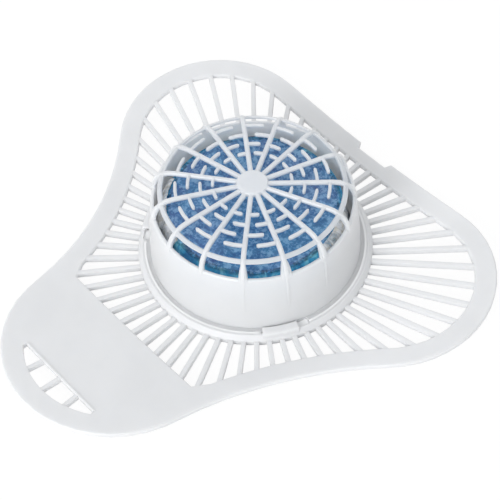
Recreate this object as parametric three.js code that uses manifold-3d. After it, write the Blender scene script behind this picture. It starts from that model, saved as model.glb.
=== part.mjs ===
// Urinal deodorizer screen: a dished, three-lobed ribbed mat with a finger tab, a clip-on spider-web
// cage on its hub, and a round deodorant block held between the hub's drain floor and the web.
// Millimetres, +Z up. The origin is on the cage's axis at the underside of the hub, tab towards -Y.

import * as THREE from "three";
import { mergeVertices } from "three/addons/utils/BufferGeometryUtils.js";
import Module from "manifold-3d";

const wasm = await Module();
wasm.setup();

// Driving dimensions, in millimetres and degrees.

// Mat outline, measured from the axis: a tab lobe towards -Y and two equal lobes beside the notch.
const tabCentreDistance = 70.7;
const tabRadius = 42;
const lobeCentreDistance = 54.6;
const lobeRadius = 41;
const lobeAngle = 116.5;
const flankRadius = 129;

// Mat section.
const matThickness = 2.3;
const edgeChamfer = 0.45;
const dishAngle = 8.9;
const rimWidth = 8.2;

// Ribs, from the hub to the rim and to the tab's straight edge.
const ribCount = 60;
const ribWidth = 2;
const ribHeight = 2.05;
const ribRecess = 0.12;
const tabEdgeDistance = 62.6;

// Finger slot in the tab, with webs in line with the ribs, and the raised bead on its straight edge.
const slotEdgeDistance = 96.3;
const slotLength = 40;
const slotWebCount = 3;
const slotWebWidth = 1.7;
const beadWidth = 0.9;
const beadHeight = 0.3;
const beadOverhang = 0.2;

// Notch in the rim opposite the tab.
const notchOffset = 2.2;
const notchWidth = 15;
const notchMouth = 18.5;
const notchDepth = 2.8;

// Deodorant block, which sets the size of the cage and the hub round it.
const blockRadius = 35.6;
const blockHeight = 25.6;
const blockEdgeRadius = 2.5;

// Hub: seat ring under the block and the cage, locating collar, drain floor.
const blockLedge = 2.1;
const collarWidth = 1.6;
const hubLedge = 1.1;
const floorDiscRadius = 9;
const floorBarCount = 12;
const floorBarWidth = 3;

// Clip hooks that hold the cage's foot, each with a pry pocket at one end.
const hookCount = 3;
const hookAngle = 330;
const hookSpan = 17.8;
const hookThickness = 2;
const hookRoot = 0.5;
const hookLipHeight = 1;
const pocketSpan = 6;
const pocketDepth = 1;

// Cage wall and foot.
const wallThickness = 1.4;
const wallTaper = 2.3;
const wallBulge = 0.3;
const wallTopHeight = 31.3;
const footWidth = 1.9;
const footThickness = 1.6;

// Web of the cage.
const spokeCount = 15;
const spokeWidth = 1.9;
const webThickness = 1.4;
const spokeProud = 0.3;
const spokeTailLength = 4;
const crownHeight = 40.3;
const crownDrop = 0.4;
const sillDepth = 0.4;
const discRadius = 6.1;
const discThickness = 1.6;
const ringInset = 3.7;
const ringWidth = 2;
const ringThickness = 0.9;

// Wings that stiffen the feet of the spokes above each hook, and the ridges below them on the wall.
const hookWingWidth = 4.4;
const sideWingWidth = 3.5;
const wingDrop = 0.45;
const wingTailLength = 1.9;
const ridgeWidth = 1.1;
const ridgeHeight = 0.2;

// Teeth of the web: rows that hang by turns on one spoke and on the next.
const toothRows = 4;
const toothFirstRadius = 14.9;
const toothPitch = 4.7;
const toothReach = 15.5;
const toothWidth = 1.25;
const toothThickness = 1.2;

// Clearances.
const seatGap = 0.3;
const collarGap = 0.3;
const blockGap = 2;

// Facets.
const rimStep = 3.3;
const hubSegments = 60;
const cageSegments = 60;
const blockSegments = 42;

// Sizes that follow from the block outwards.
const wallTopRadius = blockRadius + blockGap + wallThickness;
const wallBaseRadius = wallTopRadius + wallTaper;
const footRadius = wallBaseRadius + footWidth;
const collarInner = footRadius + collarGap;
const collarOuter = collarInner + collarWidth;
const hubRadius = collarOuter + hubLedge;

const up = new THREE.Vector3(0, 0, 1);
const dishSlope = Math.tan(THREE.MathUtils.degToRad(dishAngle));
const ribStep = 360 / ribCount;
const tabAngle = 270;

// Height of the mat's underside at a distance from the axis.
function dishHeight(radius) {
  return dishSlope * Math.max(radius - hubRadius, 0);
}

function polar(radius, degrees, z) {
  const angle = THREE.MathUtils.degToRad(degrees);
  return new THREE.Vector3(radius * Math.cos(angle), radius * Math.sin(angle), z);
}

// Solids.

function toSolid(geometry) {
  geometry.deleteAttribute("normal");
  geometry.deleteAttribute("uv");
  const merged = mergeVertices(geometry, 1e-4);
  return new wasm.Manifold(
    new wasm.Mesh({
      numProp: 3,
      vertProperties: new Float32Array(merged.attributes.position.array),
      triVerts: new Uint32Array(merged.index.array),
    })
  );
}

function toGeometry(solid) {
  const mesh = solid.getMesh();
  const geometry = new THREE.BufferGeometry();
  geometry.setAttribute("position", new THREE.BufferAttribute(mesh.vertProperties, 3));
  geometry.setIndex(new THREE.BufferAttribute(mesh.triVerts, 1));
  geometry.computeVertexNormals();
  return geometry;
}

function join(solids) {
  return solids.reduce((sum, solid) => sum.add(solid));
}

// Solid through a row of sections with equal point counts, which run counter-clockwise as seen
// looking along the row. An open row is capped at both ends, a closed row runs back to its start.
function loft(sections, closed) {
  const size = sections[0].length;
  const positions = sections.flat().flatMap((point) => point.toArray());
  const indices = [];
  const bands = closed ? sections.length : sections.length - 1;
  for (let row = 0; row < bands; row += 1) {
    const next = (row + 1) % sections.length;
    for (let i = 0; i < size; i += 1) {
      const j = (i + 1) % size;
      const a = row * size + i;
      const b = row * size + j;
      const c = next * size + i;
      const d = next * size + j;
      indices.push(a, d, b, a, c, d);
    }
  }
  if (!closed) {
    const last = (sections.length - 1) * size;
    for (let i = 1; i < size - 1; i += 1) {
      indices.push(0, i, i + 1);
      indices.push(last, last + i + 1, last + i);
    }
  }
  const geometry = new THREE.BufferGeometry();
  geometry.setAttribute("position", new THREE.Float32BufferAttribute(positions, 3));
  geometry.setIndex(indices);
  return toSolid(geometry);
}

// Outlines of moulded bars, as shares of their width and height: softened on top, and with draft.
const softBar = [
  [-0.5, 0],
  [-0.5, 0.6],
  [-0.27, 1],
  [0.27, 1],
  [0.5, 0.6],
  [0.5, 0],
];
const draftBar = [
  [-0.5, 0],
  [-0.44, 1],
  [0.44, 1],
  [0.5, 0],
];

// Section of a bar: across is its width direction, rise its outward one.
function barSection(outline, foot, across, rise, width, height) {
  return outline.map(([w, h]) =>
    foot.clone().addScaledVector(across, w * width).addScaledVector(rise, h * height)
  );
}

// Turned solid about the vertical axis, with the middle of a facet on the +X side.
function revolve(points, segments) {
  const profile = points.map(([radius, z]) => new THREE.Vector2(radius, z));
  const geometry = new THREE.LatheGeometry(profile, segments);
  geometry.rotateX(Math.PI / 2);
  geometry.rotateZ(Math.PI / 2 + Math.PI / segments);
  return toSolid(geometry);
}

// Part of a turned ring over an angle range: a section of radii and heights, counter-clockwise.
function sector(section, from, to) {
  const steps = Math.max(2, Math.ceil((to - from) / rimStep));
  const sections = [];
  for (let i = 0; i <= steps; i += 1) {
    const angle = THREE.MathUtils.lerp(from, to, i / steps);
    sections.push(section.map(([radius, z]) => polar(radius, angle, z)));
  }
  return loft(sections, false);
}

// Mat outline.

const lobeAngleRad = THREE.MathUtils.degToRad(lobeAngle);
const tabCentre = new THREE.Vector2(tabCentreDistance, 0);
const lobeCentre = new THREE.Vector2(
  lobeCentreDistance * Math.cos(lobeAngleRad),
  lobeCentreDistance * Math.sin(lobeAngleRad)
);

// Centre of the concave flank arc that is tangent to the tab's arc and to the lobe's arc.
function flankCentre() {
  const apart = tabCentre.distanceTo(lobeCentre);
  const fromTab = tabRadius + flankRadius;
  const fromLobe = lobeRadius + flankRadius;
  const along = (fromTab ** 2 - fromLobe ** 2 + apart ** 2) / (2 * apart);
  const beside = Math.sqrt(fromTab ** 2 - along ** 2);
  const axis = lobeCentre.clone().sub(tabCentre).normalize();
  const outward = new THREE.Vector2(axis.y, -axis.x);
  return tabCentre.clone().addScaledVector(axis, along).addScaledVector(outward, beside);
}

const flank = flankCentre();

function towards(start, end, distance) {
  return end.clone().sub(start).setLength(distance).add(start);
}

// Distance along a ray from the axis to a circle, on its far or its near side.
function rayToCircle(direction, centre, radius, far) {
  const along = direction.dot(centre);
  const reach = Math.sqrt(Math.max(radius ** 2 - centre.lengthSq() + along ** 2, 0));
  return far ? along + reach : along - reach;
}

// Angles from the tab's axis at which the outline, set in by a width, goes from arc to arc.
function outlineJoints(inset) {
  const tabEnd = towards(tabCentre, flank, tabRadius - inset).angle();
  const flankEnd = towards(lobeCentre, flank, lobeRadius - inset).angle();
  const lobeEnd = new THREE.Vector2(lobeCentre.x - lobeRadius + inset, lobeCentre.y).angle();
  return [tabEnd, flankEnd, lobeEnd];
}

// Distance from the axis to the outline, set in by a width, at an angle from the tab's axis.
function outlineRadius(fromTab, inset) {
  const angle = Math.abs(THREE.MathUtils.euclideanModulo(fromTab + 180, 360) - 180);
  const radians = THREE.MathUtils.degToRad(angle);
  const direction = new THREE.Vector2(Math.cos(radians), Math.sin(radians));
  const [tabEnd, flankEnd, lobeEnd] = outlineJoints(inset);
  if (radians < tabEnd) {
    return rayToCircle(direction, tabCentre, tabRadius - inset, true);
  }
  if (radians < flankEnd) {
    return rayToCircle(direction, flank, flankRadius + inset, false);
  }
  if (radians < lobeEnd) {
    return rayToCircle(direction, lobeCentre, lobeRadius - inset, true);
  }
  return (lobeCentre.x - lobeRadius + inset) / direction.x;
}

// Distance from the axis to the edge of the ribbed field: the rim's inner edge or the tab's edge.
function fieldRadius(fromTab) {
  const rim = outlineRadius(fromTab, rimWidth);
  const slant = Math.cos(THREE.MathUtils.degToRad(fromTab));
  return slant > 0 ? Math.min(rim, tabEdgeDistance / slant) : rim;
}

// Angle from the tab's axis at which the tab's straight edge meets the rim's inner edge.
function tabEdgeCorner() {
  let low = 0;
  let high = 90;
  for (let i = 0; i < 40; i += 1) {
    const middle = (low + high) / 2;
    const reach = outlineRadius(middle, rimWidth) * Math.cos(THREE.MathUtils.degToRad(middle));
    if (reach > tabEdgeDistance) {
      low = middle;
    } else {
      high = middle;
    }
  }
  return low;
}

// Screen: rim and tab, ribs, hub, drain floor and hooks, moulded as one.

// Angles of the rim's sections: closer on the lobes, wider on the flanks and the straight side.
function rimAngles() {
  const [tabEnd, flankEnd, lobeEnd] = outlineJoints(0).map(THREE.MathUtils.radToDeg);
  const ends = [0, tabEdgeCorner(), tabEnd, flankEnd, lobeEnd, 180];
  const steps = [rimStep, rimStep, 1.7 * rimStep, rimStep, 2 * rimStep];
  const half = [];
  steps.forEach((step, i) => {
    const count = Math.ceil((ends[i + 1] - ends[i]) / step);
    for (let k = 0; k < count; k += 1) {
      half.push(THREE.MathUtils.lerp(ends[i], ends[i + 1], k / count));
    }
  });
  const mirrored = half.slice(1).map((angle) => 360 - angle);
  return [...half, 180, ...mirrored.reverse()];
}

function rimAndTab() {
  const sections = rimAngles().map((angle) => {
    const outer = outlineRadius(angle, 0);
    const inner = fieldRadius(angle);
    const place = (radius, lift) => polar(radius, tabAngle + angle, dishHeight(radius) + lift);
    return [
      place(inner + edgeChamfer, 0),
      place(outer - edgeChamfer, 0),
      place(outer, edgeChamfer),
      place(outer, matThickness - edgeChamfer),
      place(outer - edgeChamfer, matThickness),
      place(inner + edgeChamfer, matThickness),
      place(inner, matThickness - edgeChamfer),
      place(inner, edgeChamfer),
    ];
  });
  return loft(sections, true);
}

// Straight bar along the dish, from one distance from the axis to another, set up from its underside.
function radialBar(degrees, from, to, width, height) {
  const across = polar(1, degrees + 90, 0);
  const sections = [from, to].map((radius) =>
    barSection(draftBar, polar(radius, degrees, dishHeight(radius) + ribRecess), across, up, width, height)
  );
  return loft(sections, false);
}

function ribs() {
  const bars = [];
  for (let i = 0; i < ribCount; i += 1) {
    const fromTab = i * ribStep;
    const end = fieldRadius(fromTab) + edgeChamfer + ribWidth / 2;
    bars.push(radialBar(tabAngle + fromTab, hubRadius - edgeChamfer, end, ribWidth, ribHeight));
  }
  return join(bars);
}

// Opening between the slot's straight edge and the rim's inner edge, through the whole mat.
function slotCut() {
  const steps = 16;
  const sections = [];
  for (let i = 0; i <= steps; i += 1) {
    const x = THREE.MathUtils.lerp(-slotLength / 2, slotLength / 2, i / steps);
    const innerRadius = tabRadius - rimWidth;
    const outerY = tabCentreDistance + Math.sqrt(innerRadius ** 2 - x ** 2);
    const low = -matThickness;
    const high = dishHeight(outerY) + 2 * matThickness;
    sections.push([
      new THREE.Vector3(x, -slotEdgeDistance, low),
      new THREE.Vector3(x, -outerY, low),
      new THREE.Vector3(x, -outerY, high),
      new THREE.Vector3(x, -slotEdgeDistance, high),
    ]);
  }
  return loft(sections, false);
}

function slotWebs() {
  const bars = [];
  for (let i = 0; i < slotWebCount; i += 1) {
    const fromTab = (i - (slotWebCount - 1) / 2) * ribStep;
    const slant = Math.cos(THREE.MathUtils.degToRad(fromTab));
    const start = slotEdgeDistance / slant - slotWebWidth;
    const end = outlineRadius(fromTab, rimWidth) + slotWebWidth;
    bars.push(radialBar(tabAngle + fromTab, start, end, slotWebWidth, ribHeight));
  }
  return join(bars);
}

// Bead along the slot's straight edge, following the dish.
function slotBead() {
  const steps = 8;
  const sections = [];
  for (let i = 0; i <= steps; i += 1) {
    const x = THREE.MathUtils.lerp(-slotLength / 2, slotLength / 2, i / steps);
    const y = -slotEdgeDistance + beadWidth / 2 - beadOverhang;
    const foot = new THREE.Vector3(x, y, dishHeight(Math.hypot(x, y)) + matThickness / 2);
    const across = new THREE.Vector3(0, -1, 0);
    sections.push(barSection(draftBar, foot, across, up, beadWidth, matThickness / 2 + beadHeight));
  }
  return loft(sections.reverse(), false);
}

// Tapered notch in the rim's outer edge.
function notchCut() {
  const edge = lobeRadius - lobeCentre.x;
  const outline = new THREE.Shape();
  outline.moveTo(notchOffset - notchWidth / 2, edge - notchDepth);
  outline.lineTo(notchOffset + notchWidth / 2, edge - notchDepth);
  outline.lineTo(notchOffset + notchMouth / 2, edge + 1);
  outline.lineTo(notchOffset - notchMouth / 2, edge + 1);
  outline.closePath();
  const depth = dishHeight(edge) + 3 * matThickness;
  const geometry = new THREE.ExtrudeGeometry(outline, { depth, bevelEnabled: false });
  geometry.translate(0, 0, -matThickness);
  return toSolid(geometry);
}

const seatHeight = matThickness;
const footBase = seatHeight + seatGap;
const footTop = footBase + footThickness;
const lipBase = footTop + seatGap;
const lipTop = lipBase + hookLipHeight;
const seatInner = blockRadius - blockLedge;

// Seat ring with its collar, whose outer face slopes down to the hub's edge.
function hubRing() {
  return revolve(
    [
      [seatInner, 0],
      [hubRadius, 0],
      [hubRadius, seatHeight],
      [collarOuter, footTop - edgeChamfer],
      [collarOuter - edgeChamfer, footTop],
      [collarInner, footTop],
      [collarInner, seatHeight],
      [seatInner, seatHeight],
      [seatInner, 0],
    ],
    hubSegments
  );
}

function drainFloor() {
  const disc = revolve(
    [
      [0, 0],
      [floorDiscRadius, 0],
      [floorDiscRadius, seatHeight],
      [0, seatHeight],
    ],
    hubSegments / 2
  );
  const bars = [disc];
  for (let i = 0; i < floorBarCount; i += 1) {
    const angle = (i * 360) / floorBarCount;
    const thickness = seatHeight - 2 * ribRecess;
    bars.push(radialBar(angle, floorDiscRadius - 1, seatInner + 1, floorBarWidth, thickness));
  }
  return join(bars);
}

// Hook number n: an upright that grows out of the collar and a lip over the cage's foot.
function hook(n) {
  const centre = hookAngle + (n * 360) / hookCount;
  const lipInner = wallBaseRadius + collarGap;
  const outer = collarInner + hookThickness;
  const section = [
    [collarInner + hookRoot, lipBase],
    [collarInner + hookRoot, seatHeight / 2],
    [outer, seatHeight / 2],
    [outer, lipTop - edgeChamfer],
    [outer - edgeChamfer, lipTop],
    [lipInner + edgeChamfer, lipTop],
    [lipInner, lipBase],
  ];
  return sector(section, centre - hookSpan / 2, centre + hookSpan / 2);
}

// Pocket at the end of hook number n, from the cage's wall into the collar and down to a height in
// the seat. It starts a little under the hook, so that the hook closes its end.
function pocketCut(n, low) {
  const from = hookAngle + (n * 360) / hookCount + hookSpan / 2;
  const inner = wallBaseRadius + collarGap;
  const outer = collarInner + collarWidth / 2;
  const section = [
    [inner, low],
    [outer, low],
    [outer, footTop + collarGap],
    [inner, footTop + collarGap],
  ];
  return sector(section, from - hookRoot, from + pocketSpan);
}

function screenSolid() {
  let solid = rimAndTab().subtract(slotCut()).subtract(notchCut());
  solid = join([solid, ribs(), slotWebs(), slotBead(), hubRing(), drainFloor()]);
  for (let n = 0; n < hookCount; n += 1) {
    solid = solid.subtract(pocketCut(n, seatHeight - pocketDepth)).add(hook(n));
  }
  return solid;
}

// Cage: wall with its foot, and the domed web of spokes, ring, teeth and centre disc.

// Outer radius of the wall at a height.
function wallRadius(z) {
  const t = (z - footTop) / (wallTopHeight - footTop);
  return THREE.MathUtils.lerp(wallBaseRadius, wallTopRadius, t) + 4 * wallBulge * t * (1 - t);
}

function wallAndFoot() {
  const steps = 3;
  const outside = [];
  for (let i = 0; i < steps; i += 1) {
    const z = THREE.MathUtils.lerp(footTop, wallTopHeight, i / steps);
    outside.push([wallRadius(z), z]);
  }
  const footInner = wallBaseRadius - wallThickness;
  return revolve(
    [
      [footInner, footBase],
      [footRadius, footBase],
      [footRadius, footTop],
      ...outside,
      [wallTopRadius, wallTopHeight - wallThickness / 3],
      [wallTopRadius - wallThickness / 3, wallTopHeight],
      [wallTopRadius - wallThickness, wallTopHeight],
      [footInner, footBase],
    ],
    cageSegments
  );
}

// Web surface: a nearly flat crown that turns down over the shoulder into the wall's outer face.
const shoulderTop = crownHeight - crownDrop;
const shoulderCentreHeight = wallTopHeight - sillDepth;
const shoulderRadius = shoulderTop - shoulderCentreHeight;
const shoulderStart = wallTopRadius - shoulderRadius;
const ringRadius = wallTopRadius - ringInset;

// Point of the web's outer surface and its outward direction, in the plane of radius and height.
function shoulderPoint(turn) {
  const angle = THREE.MathUtils.degToRad(turn);
  return {
    radius: shoulderStart + shoulderRadius * Math.sin(angle),
    height: shoulderCentreHeight + shoulderRadius * Math.cos(angle),
    outward: [Math.sin(angle), Math.cos(angle)],
  };
}

function webPoint(radius) {
  if (radius > shoulderStart) {
    const sine = Math.min((radius - shoulderStart) / shoulderRadius, 1);
    return shoulderPoint(THREE.MathUtils.radToDeg(Math.asin(sine)));
  }
  return { radius, height: crownHeight - (crownDrop * radius) / shoulderStart, outward: [0, 1] };
}

// Point of the wall's outer face, which carries the web on below the shoulder.
function wallPoint(height) {
  return { radius: wallRadius(height), height, outward: [1, 0] };
}

// Section of a bar that runs out along the web and down the wall at an angle. Its top stands proud
// of the web's surface by one value, and its thickness is measured from there.
function spokeSection(outline, point, degrees, width, proud, thickness) {
  const [out, rise] = point.outward;
  const normal = polar(out, degrees, rise);
  const foot = polar(point.radius, degrees, point.height);
  foot.addScaledVector(normal, proud - thickness);
  const across = polar(1, degrees + 90, 0);
  return barSection(outline, foot, across, normal, width, thickness);
}

function spoke(degrees) {
  const add = (point, proud) =>
    spokeSection(softBar, point, degrees, spokeWidth, proud, webThickness + proud);
  const tip = wallPoint(wallTopHeight - spokeTailLength);
  const sink = -wallThickness / 3;
  return loft(
    [
      add(webPoint(discRadius / 2), 0),
      add(webPoint(shoulderStart), 0),
      ...[18, 36, 54, 72].map((turn) => add(shoulderPoint(turn), (spokeProud * turn) / 90)),
      add(wallPoint(wallTopHeight - webThickness / 2), spokeProud),
      spokeSection(softBar, tip, degrees, spokeWidth / 2, sink, wallThickness / 3),
    ],
    false
  );
}

// Wing pair of one spoke's foot: a flatter leaf under the spoke, broadest at the wall's top. Each
// station is a place along the leaf and its share of the full width.
function wing(degrees, width) {
  const add = (point, share, proud) =>
    spokeSection(draftBar, point, degrees, width * share, proud, webThickness + proud);
  const overShoulder = [
    [35, 0.3],
    [55, 0.72],
    [75, 0.94],
  ];
  const downWall = [
    [0.25, 1],
    [0.7, 0.86],
  ];
  const height = (tail) => wallTopHeight - tail * wingTailLength;
  return loft(
    [
      ...overShoulder.map(([turn, share]) => add(shoulderPoint(turn), share, -wingDrop)),
      ...downWall.map(([tail, share]) => add(wallPoint(height(tail)), share, spokeProud / 2)),
      add(wallPoint(height(1)), 0.6, -spokeProud),
    ],
    false
  );
}

// Ridge from a winged spoke down the wall's outer face, which fades out above the hooks.
function ridge(degrees) {
  const top = wallTopHeight - wingTailLength / 2;
  const end = lipTop + ridgeWidth;
  const stations = [
    [top, ridgeHeight],
    [(top + end) / 2, ridgeHeight],
    [end, -ridgeHeight],
  ];
  return loft(
    stations.map(([z, proud]) =>
      spokeSection(draftBar, wallPoint(z), degrees, ridgeWidth, proud, wallThickness / 2)
    ),
    false
  );
}

function webRing() {
  const point = webPoint(ringRadius);
  const [out, rise] = point.outward;
  const sections = [];
  for (let i = 0; i < cageSegments; i += 1) {
    const degrees = ((i + 0.5) * 360) / cageSegments;
    const normal = polar(out, degrees, rise);
    const across = polar(-rise, degrees, out);
    const foot = polar(point.radius, degrees, point.height);
    foot.addScaledVector(normal, -ringThickness - seatGap);
    sections.push(barSection(draftBar, foot, across, normal, ringWidth, ringThickness));
  }
  return loft(sections, true);
}

// Tooth along an arc, from inside its spoke to a rounded end; side is +1 or -1 around the axis.
function tooth(spokeDegrees, row, side) {
  const radius = toothFirstRadius + row * toothPitch;
  const height = webPoint(radius).height - (webThickness - toothThickness) / 2;
  const endTurn = THREE.MathUtils.radToDeg(toothWidth / 2 / radius);
  const stations = [
    [0, 1],
    [toothReach / 2, 1],
    [toothReach - endTurn, 1],
    [toothReach, 0.4],
  ];
  const sections = stations.map(([turn, share]) => {
    const degrees = spokeDegrees + side * turn;
    const foot = polar(radius, degrees, height - toothThickness);
    const across = polar(1, degrees, 0);
    return barSection(draftBar, foot, across, up, toothWidth * share, toothThickness);
  });
  return loft(side > 0 ? sections.reverse() : sections, false);
}

function centreDisc() {
  const soft = discThickness / 4;
  return revolve(
    [
      [0, crownHeight - discThickness],
      [discRadius, crownHeight - discThickness],
      [discRadius, crownHeight - soft],
      [discRadius - soft, crownHeight + soft / 2],
      [0, crownHeight + soft / 2],
    ],
    cageSegments / 3
  );
}

// Wing width of a spoke: broad over each hook, where the foot is gripped, and none far from one.
function wingWidth(degrees) {
  const hookPitch = 360 / hookCount;
  const offset = THREE.MathUtils.euclideanModulo(degrees - hookAngle + hookPitch / 2, hookPitch);
  const beside = Math.abs(offset - hookPitch / 2);
  const pitch = 360 / spokeCount;
  if (beside < pitch / 2) {
    return hookWingWidth;
  }
  return beside < 1.4 * pitch ? sideWingWidth : 0;
}

function cageSolid() {
  const pieces = [centreDisc(), webRing()];
  for (let i = 0; i < spokeCount; i += 1) {
    const degrees = (i * 360) / spokeCount;
    const width = wingWidth(degrees);
    pieces.push(spoke(degrees));
    if (width > 0) {
      pieces.push(wing(degrees, width), ridge(degrees));
    }
    for (let row = 0; row < toothRows; row += 1) {
      pieces.push(tooth(degrees, row, row % 2 === 0 ? 1 : -1));
    }
  }
  let solid = wallAndFoot();
  for (let n = 0; n < hookCount; n += 1) {
    solid = solid.subtract(pocketCut(n, seatHeight));
  }
  return solid.add(join(pieces));
}

// Block: a pressed puck with rounded edges.

function blockSolid() {
  const low = seatHeight + seatGap;
  const high = low + blockHeight;
  const steps = 3;
  const profile = [[0, low]];
  const corner = (centreHeight, start) => {
    for (let i = 0; i <= steps; i += 1) {
      const angle = THREE.MathUtils.degToRad(start + (90 * i) / steps);
      profile.push([
        blockRadius - blockEdgeRadius + blockEdgeRadius * Math.cos(angle),
        centreHeight + blockEdgeRadius * Math.sin(angle),
      ]);
    }
  };
  corner(low + blockEdgeRadius, -90);
  corner(high - blockEdgeRadius, 0);
  profile.push([0, high]);
  return revolve(profile, blockSegments);
}

// Object.

const whitePlastic = new THREE.MeshStandardMaterial({ color: 0xeceff1, roughness: 0.42, metalness: 0 });
const cagePlastic = new THREE.MeshStandardMaterial({ color: 0xf1f4f6, roughness: 0.35, metalness: 0 });
const blueWax = new THREE.MeshStandardMaterial({ color: 0x2a6fa8, roughness: 0.55, metalness: 0 });

function part(name, solid, material) {
  const mesh = new THREE.Mesh(toGeometry(solid), material);
  mesh.name = name;
  return mesh;
}

const deodorizer = new THREE.Group();
deodorizer.add(part("screen", screenSolid(), whitePlastic));
deodorizer.add(part("cage", cageSolid(), cagePlastic));
deodorizer.add(part("block", blockSolid(), blueWax));

export default deodorizer;
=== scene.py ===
import math

import bmesh
import bpy
from mathutils import Matrix, Vector, noise


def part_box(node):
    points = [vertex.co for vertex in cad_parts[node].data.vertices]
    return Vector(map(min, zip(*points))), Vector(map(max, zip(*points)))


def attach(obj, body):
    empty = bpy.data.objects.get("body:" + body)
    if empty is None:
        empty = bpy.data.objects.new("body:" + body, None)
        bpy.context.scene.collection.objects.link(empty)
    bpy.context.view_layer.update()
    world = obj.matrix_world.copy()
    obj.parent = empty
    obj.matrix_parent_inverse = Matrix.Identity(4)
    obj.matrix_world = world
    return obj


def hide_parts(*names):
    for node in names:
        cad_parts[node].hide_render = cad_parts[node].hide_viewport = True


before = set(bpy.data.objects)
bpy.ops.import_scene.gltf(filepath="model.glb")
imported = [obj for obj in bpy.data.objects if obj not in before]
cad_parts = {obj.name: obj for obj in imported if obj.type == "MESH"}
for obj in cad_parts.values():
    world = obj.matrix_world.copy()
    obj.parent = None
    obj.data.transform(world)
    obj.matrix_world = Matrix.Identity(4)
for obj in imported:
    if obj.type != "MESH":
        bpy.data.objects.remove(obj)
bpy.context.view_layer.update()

# Camera: a long lens over the front right of the mat, turned a little about its axis, so that the
# finger tab points to the lower left of the frame.

camera_place = Vector((0.25211, -0.21313, 0.44320))
camera_aim = Vector((0.00013, -0.00306, 0.00075))
camera_lens = 100.58
camera_roll = math.radians(-3.231)

camera_data = bpy.data.cameras.new("camera")
camera_data.lens = camera_lens
camera_data.sensor_width = 36.0
camera_data.clip_start = 0.05
camera_data.clip_end = 20.0
camera = bpy.data.objects.new("camera", camera_data)
bpy.context.scene.collection.objects.link(camera)
look = (camera_aim - camera_place).to_track_quat("-Z", "Y").to_matrix().to_4x4()
camera.matrix_world = Matrix.Translation(camera_place) @ look @ Matrix.Rotation(camera_roll, 4, "Z")
bpy.context.scene.camera = camera
bpy.context.scene.view_settings.view_transform = "Standard"


# Screen: the ribbed mat with its tab, rim, hub and hooks, moulded in one shot of soft white vinyl.
# Its surface is satin with a fine moulded grain, a faint mottle where the vinyl flowed, and edges
# that are softened wherever two faces meet.

MM = 0.001


def add_node(tree, kind, **inputs):
    node = tree.nodes.new(kind)
    for name, value in inputs.items():
        socket = node.inputs[name.replace("_", " ")]
        if isinstance(value, bpy.types.NodeSocket):
            tree.links.new(value, socket)
        else:
            socket.default_value = value
    return node


def new_material(name):
    material = bpy.data.materials.new(name)
    material.use_nodes = True
    tree = material.node_tree
    tree.nodes.clear()
    output = tree.nodes.new("ShaderNodeOutputMaterial")
    shader = tree.nodes.new("ShaderNodeBsdfPrincipled")
    tree.links.new(shader.outputs[0], output.inputs["Surface"])
    return material, tree, shader


def noise_field(tree, scale, detail=3.0, roughness=0.5, distortion=0.0, stretch=(1, 1, 1)):
    """Noise in the piece's own space, finer along an axis the larger its stretch is."""
    place = tree.nodes.new("ShaderNodeTexCoord")
    spread = add_node(tree, "ShaderNodeMapping", Vector=place.outputs["Object"], Scale=stretch)
    field = add_node(tree, "ShaderNodeTexNoise", Vector=spread.outputs["Vector"])
    field.inputs["Scale"].default_value = scale
    field.inputs["Detail"].default_value = detail
    field.inputs["Roughness"].default_value = roughness
    field.inputs["Distortion"].default_value = distortion
    return field.outputs["Fac"]


def ramp(tree, factor, stops):
    node = add_node(tree, "ShaderNodeValToRGB", Fac=factor)
    elements = node.color_ramp.elements
    while len(elements) < len(stops):
        elements.new(0.5)
    for element, (position, colour) in zip(elements, stops):
        element.position = position
        element.color = (*colour, 1.0)
    return node.outputs["Color"]


def bump(tree, height, strength, distance, normal=None):
    node = add_node(tree, "ShaderNodeBump", Height=height, Strength=strength, Distance=distance)
    if normal is not None:
        tree.links.new(normal, node.inputs["Normal"])
    return node.outputs["Normal"]


def assign(obj, material):
    obj.data.materials.clear()
    obj.data.materials.append(material)


def moulded_plastic(name, light, dark, roughness, grain, edge_radius, milkiness, depth):
    """White moulded plastic; milkiness and depth are how much and how far light spreads inside it."""
    roughness_spread = (-0.06, 0.08)
    wave_height = 0.4 * MM
    grain_height = 0.06 * MM
    material, tree, shader = new_material(name)
    mottle = noise_field(tree, 45.0, 4.0, 0.55)
    tree.links.new(ramp(tree, mottle, [(0.35, dark), (0.65, light)]), shader.inputs["Base Color"])
    sheen = add_node(
        tree,
        "ShaderNodeMapRange",
        Value=noise_field(tree, 160.0, 3.0, 0.6),
        To_Min=roughness + roughness_spread[0],
        To_Max=roughness + roughness_spread[1],
    )
    tree.links.new(sheen.outputs["Result"], shader.inputs["Roughness"])
    rounded = tree.nodes.new("ShaderNodeBevel")
    rounded.samples = 4
    rounded.inputs["Radius"].default_value = edge_radius
    waves = bump(tree, noise_field(tree, 70.0, 2.0, 0.4), 0.25, wave_height, rounded.outputs["Normal"])
    grained = bump(tree, noise_field(tree, 2600.0, 2.0, 0.5), grain, grain_height, waves)
    tree.links.new(grained, shader.inputs["Normal"])
    shader.inputs["IOR"].default_value = 1.49
    shader.inputs["Subsurface Weight"].default_value = milkiness
    shader.inputs["Subsurface Radius"].default_value = (1.0, 0.98, 0.95)
    shader.inputs["Subsurface Scale"].default_value = depth
    return material


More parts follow.
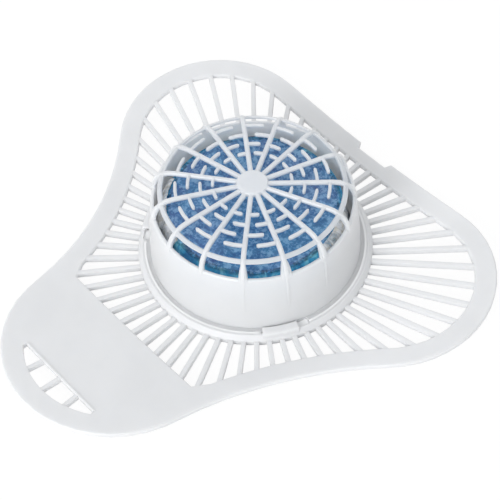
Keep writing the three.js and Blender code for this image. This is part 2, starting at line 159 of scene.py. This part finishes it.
def smooth_by_angle(obj, degrees):
    """Welds the vertices, smooths the faces and keeps the edges over a limit crisp, as a modifier."""
    group = bpy.data.node_groups.new(obj.name + "_shading", "GeometryNodeTree")
    group.interface.new_socket("Geometry", in_out="INPUT", socket_type="NodeSocketGeometry")
    group.interface.new_socket("Geometry", in_out="OUTPUT", socket_type="NodeSocketGeometry")
    start = group.nodes.new("NodeGroupInput")
    end = group.nodes.new("NodeGroupOutput")
    plain = group.nodes.new("GeometryNodeRemoveAttribute")
    plain.inputs["Name"].default_value = "custom_normal"
    weld = group.nodes.new("GeometryNodeMergeByDistance")
    weld.inputs["Distance"].default_value = 2e-6
    faces = group.nodes.new("GeometryNodeSetShadeSmooth")
    faces.domain = "FACE"
    edges = group.nodes.new("GeometryNodeSetShadeSmooth")
    edges.domain = "EDGE"
    edges.inputs["Shade Smooth"].default_value = False
    angle = group.nodes.new("GeometryNodeInputMeshEdgeAngle")
    crisp = group.nodes.new("FunctionNodeCompare")
    crisp.operation = "GREATER_THAN"
    crisp.inputs[1].default_value = math.radians(degrees)
    group.links.new(start.outputs[0], plain.inputs["Geometry"])
    group.links.new(plain.outputs["Geometry"], weld.inputs["Geometry"])
    group.links.new(weld.outputs["Geometry"], faces.inputs["Geometry"])
    group.links.new(angle.outputs["Unsigned Angle"], crisp.inputs[0])
    group.links.new(crisp.outputs[0], edges.inputs["Selection"])
    group.links.new(faces.outputs["Geometry"], edges.inputs["Geometry"])
    group.links.new(edges.outputs["Geometry"], end.inputs[0])
    modifier = obj.modifiers.new("shading", "NODES")
    modifier.node_group = group


mat_light = (0.83, 0.835, 0.845)
mat_dark = (0.80, 0.805, 0.815)
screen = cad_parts["screen"]
assign(screen, moulded_plastic("mat_plastic", mat_light, mat_dark, 0.42, 0.35, 0.4 * MM, 0.8, 2 * MM))
smooth_by_angle(screen, 32)


# Cage: the spider-web holder, a separate moulding in a stiffer and glossier white plastic, held on
# the hub by the three hooks. Its thin wall lets light through, so the inside of it stays pale.

cage_light = (0.91, 0.915, 0.92)
cage_dark = (0.89, 0.895, 0.90)
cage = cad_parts["cage"]
assign(cage, moulded_plastic("cage_plastic", cage_light, cage_dark, 0.3, 0.15, 0.3 * MM, 1.0, 5 * MM))
smooth_by_angle(cage, 32)


# Seam: on the real holder the foot sits right up against the collar, with only a shallow groove between
# them, and the pockets at the hooks' ends are shallow too. A bead and a step of the same plastic fill
# the clearance there.

cage_low, cage_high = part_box("cage")
foot_thickness = 1.6 * MM
foot_top = cage_low.z + foot_thickness
groove_radius = cage_high.x + 0.15 * MM
hook_turns = [330, 90, 210]
bead_reach = (15.5, 110.5)
bead_steps = 40
bead_section = [(-0.62, -0.03), (-0.3, 0.04), (0, -0.02), (0.3, 0.04), (0.62, -0.03), (0, -0.6)]
pocket_reach = (8.6, 15.2)
pocket_steps = 6
pocket_section = [(-1.75, -0.6), (0.95, -1.0), (0.95, -2.1), (-1.75, -2.1)]
seam_plastic = moulded_plastic("seam_plastic", cage_light, cage_dark, 0.3, 0.15, 0.1 * MM, 0.0, 1 * MM)


def mesh_object(name, mesh_tool, smooth):
    mesh = bpy.data.meshes.new(name)
    mesh_tool.to_mesh(mesh)
    mesh_tool.free()
    for polygon in mesh.polygons:
        polygon.use_smooth = smooth
    obj = bpy.data.objects.new(name, mesh)
    bpy.context.scene.collection.objects.link(obj)
    return obj


def round_axis(radius, angle, height):
    return (radius * math.cos(angle), radius * math.sin(angle), height)


def ring_bars(name, section, reach, steps, smooth):
    """Bars round the axis, from the first to the last degree of reach past each hook's middle. The
    section's points are millimetres out from the groove and up from the foot's top."""
    mesh_tool = bmesh.new()
    for turn in hook_turns:
        rows = []
        for i in range(steps + 1):
            angle = math.radians(turn + reach[0] + (reach[1] - reach[0]) * i / steps)
            rows.append([
                mesh_tool.verts.new(round_axis(groove_radius + out * MM, angle, foot_top + rise * MM))
                for out, rise in section
            ])
        for before, after in zip(rows, rows[1:]):
            for i in range(len(section)):
                j = (i + 1) % len(section)
                mesh_tool.faces.new((before[i], before[j], after[j], after[i]))
        mesh_tool.faces.new(list(reversed(rows[0])))
        mesh_tool.faces.new(rows[-1])
    bmesh.ops.recalc_face_normals(mesh_tool, faces=mesh_tool.faces)
    obj = mesh_object(name, mesh_tool, smooth)
    assign(obj, seam_plastic)
    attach(obj, "root")


ring_bars("foot_seam", bead_section, bead_reach, bead_steps, True)
ring_bars("pocket_step", pocket_section, pocket_reach, pocket_steps, False)


# Block: a round puck of blue deodorant wax, pressed from crumbs, so that its top is mottled from
# slate blue to sky blue. Its edge is rounded, and its side is a clearer teal with streaks down it
# from the press. That teal is painted lighter than the wax's own colour, as painted light where the
# wall shades the side, and it runs up over the rounded edge, which the wall shades too.

block_low, block_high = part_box("block")
block_radius = (block_high.x - block_low.x) / 2
puck_edge = 3.2 * MM
puck_inset = 0.4 * MM
puck_segments = 180

wax, tree, shader = new_material("blue_wax")
crumbs = noise_field(tree, 520.0, 5.0, 0.7)
clouds = noise_field(tree, 130.0, 4.0, 0.6, 0.6)
violet = noise_field(tree, 60.0, 2.0, 0.5)
streaks = noise_field(tree, 260.0, 4.0, 0.6, 0.4, (1, 1, 0.25))
crumb_stops = [(0.40, (0.004, 0.055, 0.20)), (0.49, (0.040, 0.205, 0.46)), (0.58, (0.38, 0.64, 0.86))]
cloud_stops = [(0.39, (0.003, 0.070, 0.27)), (0.61, (0.140, 0.430, 0.70))]
violet_stops = [(0.40, (0.018, 0.22, 0.48)), (0.62, (0.110, 0.15, 0.44))]
# Side colours: the wax's own teal, painted brighter as painted light for the shade between block and wall.
side_stops_painted_bright = [(0.36, (0.012, 0.22, 0.52)), (0.50, (0.030, 0.42, 0.76)), (0.62, (0.22, 0.72, 0.92))]
cloud_share = 0.35
violet_share = 0.28
side_from = block_radius - 2.4 * MM
side_to = block_radius - 0.9 * MM
side_waver = 2 * MM


def mix_colours(tree, factor, first, second):
    node = tree.nodes.new("ShaderNodeMix")
    node.data_type = "RGBA"
    if isinstance(factor, bpy.types.NodeSocket):
        tree.links.new(factor, node.inputs["Factor"])
    else:
        node.inputs["Factor"].default_value = factor
    tree.links.new(first, node.inputs["A"])
    tree.links.new(second, node.inputs["B"])
    return node.outputs["Result"]


crumbed_blue = mix_colours(
    tree, cloud_share, ramp(tree, crumbs, crumb_stops), ramp(tree, clouds, cloud_stops)
)
top_blue = mix_colours(tree, violet_share, crumbed_blue, ramp(tree, violet, violet_stops))
place = tree.nodes.new("ShaderNodeTexCoord")
flat = add_node(tree, "ShaderNodeMapping", Vector=place.outputs["Object"], Scale=(1, 1, 0))
reach = tree.nodes.new("ShaderNodeVectorMath")
reach.operation = "LENGTH"
tree.links.new(flat.outputs["Vector"], reach.inputs[0])
uneven = tree.nodes.new("ShaderNodeMath")
uneven.operation = "MULTIPLY_ADD"
tree.links.new(clouds, uneven.inputs[0])
uneven.inputs[1].default_value = side_waver
tree.links.new(reach.outputs["Value"], uneven.inputs[2])
# Mask for the side colour. It reaches in over the top's rounded edge and paints light where the wall
# shades that edge.
side_and_painted_edge_mask = add_node(
    tree, "ShaderNodeMapRange", Value=uneven.outputs["Value"], From_Min=side_from, From_Max=side_to
)
side_teal_and_painted_light = ramp(tree, streaks, side_stops_painted_bright)
colour = mix_colours(tree, side_and_painted_edge_mask.outputs["Result"], top_blue, side_teal_and_painted_light)
tree.links.new(colour, shader.inputs["Base Color"])
shader.inputs["Roughness"].default_value = 0.5
pits = bump(tree, crumbs, 0.3, 0.2 * MM)
tree.links.new(bump(tree, clouds, 0.3, 0.6 * MM, pits), shader.inputs["Normal"])
wrinkles = noise_field(tree, 190.0, 3.0, 0.55, 1.5, (1, 1, 0.5))
shader.inputs["Coat Weight"].default_value = 0.45
shader.inputs["Coat Roughness"].default_value = 0.14
tree.links.new(bump(tree, wrinkles, 0.4, 0.7 * MM), shader.inputs["Coat Normal"])


def rounded_profile(radius, low, high, edge):
    """Radius and height from the middle of the underside, round the side, to the middle of the top."""
    rings = 26
    side_steps = 16
    quarter = [math.radians(15 * i) for i in range(7)]
    points = [(radius * i / rings, low) for i in range(rings)]
    points += [(radius - edge + edge * math.sin(a), low + edge - edge * math.cos(a)) for a in quarter]
    straight = high - low - 2 * edge
    points += [(radius, low + edge + straight * i / side_steps) for i in range(1, side_steps)]
    points += [(radius - edge + edge * math.cos(a), high - edge + edge * math.sin(a)) for a in quarter]
    points += [(radius * (rings - i) / rings, high) for i in range(1, rings + 1)]
    return points


def turned_mesh(name, profile, segments, shape):
    """Mesh turned about the upright axis, whose points are then moved by shape."""
    mesh_tool = bmesh.new()
    rows = []
    for radius, height in profile:
        count = segments if radius > 1e-6 else 1
        turns = [2 * math.pi * i / count for i in range(count)]
        rows.append([mesh_tool.verts.new(round_axis(radius, a, height)) for a in turns])
    for lower, upper in zip(rows, rows[1:]):
        for i in range(segments):
            j = (i + 1) % segments
            if len(lower) == 1:
                mesh_tool.faces.new((lower[0], upper[j], upper[i]))
            elif len(upper) == 1:
                mesh_tool.faces.new((lower[i], lower[j], upper[0]))
            else:
                mesh_tool.faces.new((lower[i], lower[j], upper[j], upper[i]))
    for vertex in mesh_tool.verts:
        vertex.co = shape(vertex.co)
    return mesh_object(name, mesh_tool, True)


block_centre = Vector((0, 0, (block_low.z + block_high.z) / 2))
dent_sizes = [(0.35 * MM, 140.0), (0.15 * MM, 420.0)]


def pressed_shape(point):
    """Uneven wax, always a little inside the puck's true outline."""
    dent = sum(depth * (0.5 + 0.5 * noise.noise(point * fineness)) for depth, fineness in dent_sizes)
    return point + (block_centre - point).normalized() * dent


puck_top = block_high.z - puck_inset
puck_profile = rounded_profile(block_radius - puck_inset, block_low.z, puck_top, puck_edge)
puck = turned_mesh("wax_puck", puck_profile, puck_segments, pressed_shape)
assign(puck, wax)
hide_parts("block")
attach(puck, "root")


# Wrapper: the thin clear film that the block is packed in. It lies tight on the wax, where it is the
# wax's own wrinkled gloss, and stands off in loose milky folds towards the wall at two places.

fold_turns = [(232, 27), (24, 20)]
fold_steps = 90
fold_rows = 18
fold_low = block_high.z - 9 * MM
fold_bend = 3.4 * MM
fold_side = 0.5
fold_reach = math.radians(78)
fold_slack = 1.05
wave_size = 0.6
wave_grain = (14, 1.5, 0)
pleat_size = 0.5
pleat_grain = (55, 2.5, 7)
film_thickness = 0.04 * MM
film_stops = [(0.38, (0.86, 0.82, 0.74)), (0.47, (0.96, 0.96, 0.95)), (0.62, (0.97, 0.98, 1.0))]

film_clear, tree, shader = new_material("clear_film")
creases = noise_field(tree, 420.0, 3.0, 0.5, 1.0, (1, 1, 0.18))
tree.links.new(ramp(tree, creases, film_stops), shader.inputs["Base Color"])
haze = noise_field(tree, 240.0, 2.0, 0.5, 0.8, (1, 1, 0.3))
veil = add_node(
    tree, "ShaderNodeMapRange", Value=haze, From_Min=0.36, From_Max=0.6, To_Min=0.25, To_Max=0.85
)
tree.links.new(veil.outputs["Result"], shader.inputs["Alpha"])
shader.inputs["Roughness"].default_value = 0.28
shader.inputs["IOR"].default_value = 1.5


def unevenness(grain, angle, up, centre):
    return noise.noise(Vector((angle * grain[0], up * grain[1], centre + grain[2])))


def fold(name, centre, half):
    """Loose fold of film: tight on the block at its foot and ends, slack and wavy in between."""
    mesh_tool = bmesh.new()
    rows = []
    for j in range(fold_rows + 1):
        up = j / fold_rows
        row = []
        for i in range(fold_steps + 1):
            across = 2 * i / fold_steps - 1
            angle = math.radians(centre + half * across)
            slack = (1 - across * across) * math.sin(0.5 * math.pi * min(1.0, up * 2))
            wave = wave_size * unevenness(wave_grain, angle, up, centre)
            pleat = pleat_size * unevenness(pleat_grain, angle, up, centre)
            loose = MM * (0.1 + slack * (fold_slack + wave + pleat))
            bend = fold_reach * max(0.0, up - fold_side) / (1 - fold_side)
            side = min(1.0, up / fold_side)
            radius = block_radius - fold_bend + (fold_bend + loose) * math.cos(bend)
            height = fold_low + (block_high.z - fold_bend - fold_low) * side
            height += (fold_bend + 0.5 * loose) * math.sin(bend)
            row.append(mesh_tool.verts.new(round_axis(radius, angle, height)))
        rows.append(row)
    for lower, upper in zip(rows, rows[1:]):
        for i in range(fold_steps):
            mesh_tool.faces.new((lower[i], lower[i + 1], upper[i + 1], upper[i]))
    obj = mesh_object(name, mesh_tool, True)
    skin = obj.modifiers.new("film", "SOLIDIFY")
    skin.thickness = film_thickness
    skin.offset = 0
    assign(obj, film_clear)
    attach(obj, "root")


for number, (centre, half) in enumerate(fold_turns, 1):
    fold("film_fold_" + str(number), centre, half)


# Stage: a pale floor under the hub and a white world. The floor keeps the object's soft shadow, and
# shows as white to the camera and in reflections. The world is white to the camera, and a little
# dimmer in reflections, where it is the light that falls on the object.

floor_height = -0.2 * MM
floor_size = 4.0
floor_tool = bmesh.new()
bmesh.ops.create_grid(floor_tool, x_segments=1, y_segments=1, size=floor_size)
floor = mesh_object("floor", floor_tool, False)
floor.location.z = floor_height

floor_material = bpy.data.materials.new("pale_floor")
floor_material.use_nodes = True
tree = floor_material.node_tree
tree.nodes.clear()
output = tree.nodes.new("ShaderNodeOutputMaterial")
matte = add_node(tree, "ShaderNodeBsdfDiffuse", Color=(0.92, 0.92, 0.92, 1.0))
shaded = add_node(tree, "ShaderNodeBsdfDiffuse", Color=(0.12, 0.12, 0.12, 1.0))
glow = add_node(tree, "ShaderNodeEmission", Color=(1, 1, 1, 1), Strength=0.91)
lit = tree.nodes.new("ShaderNodeAddShader")
tree.links.new(shaded.outputs[0], lit.inputs[0])
tree.links.new(glow.outputs[0], lit.inputs[1])


def seen_directly(tree):
    """One for rays of the camera, of reflections and of clear pieces, and nought for the others."""
    path = tree.nodes.new("ShaderNodeLightPath")
    total = path.outputs["Is Camera Ray"]
    for name in ["Is Glossy Ray", "Is Transmission Ray"]:
        either = tree.nodes.new("ShaderNodeMath")
        either.operation = "MAXIMUM"
        tree.links.new(total, either.inputs[0])
        tree.links.new(path.outputs[name], either.inputs[1])
        total = either.outputs[0]
    return total


choice = add_node(tree, "ShaderNodeMixShader", Fac=seen_directly(tree))
tree.links.new(matte.outputs[0], choice.inputs[1])
tree.links.new(lit.outputs[0], choice.inputs[2])
tree.links.new(choice.outputs[0], output.inputs["Surface"])
assign(floor, floor_material)

world = bpy.data.worlds.new("world")
bpy.context.scene.world = world
world.use_nodes = True
tree = world.node_tree
tree.nodes.clear()
output = tree.nodes.new("ShaderNodeOutputWorld")
ambient = add_node(tree, "ShaderNodeBackground", Color=(0.97, 0.985, 1.0, 1.0), Strength=0.68)
backdrop = add_node(tree, "ShaderNodeBackground", Color=(1, 1, 1, 1), Strength=1.0)
path = tree.nodes.new("ShaderNodeLightPath")
choice = add_node(tree, "ShaderNodeMixShader", Fac=path.outputs["Is Camera Ray"])
tree.links.new(ambient.outputs[0], choice.inputs[1])
tree.links.new(backdrop.outputs[0], choice.inputs[2])
tree.links.new(choice.outputs[0], output.inputs["Surface"])


# Lamps: a soft key low in front and to the left, and a weak lamp behind that shines through the wall.

def lamp(name, azimuth, elevation, distance, size, power):
    data = bpy.data.lights.new(name, "AREA")
    data.shape = "DISK"
    data.size = size
    data.energy = power
    rise = math.radians(elevation)
    place = Vector(round_axis(distance * math.cos(rise), math.radians(azimuth), distance * math.sin(rise)))
    obj = bpy.data.objects.new(name, data)
    obj.location = place
    obj.rotation_mode = "QUATERNION"
    obj.rotation_quaternion = (-place).to_track_quat("-Z", "Y")
    bpy.context.scene.collection.objects.link(obj)


lamp("key", 286, 29, 1.5, 0.9, 11.2)
lamp("back", 130, 35, 1.5, 1.2, 2.5)

bpy.context.view_layer.update()
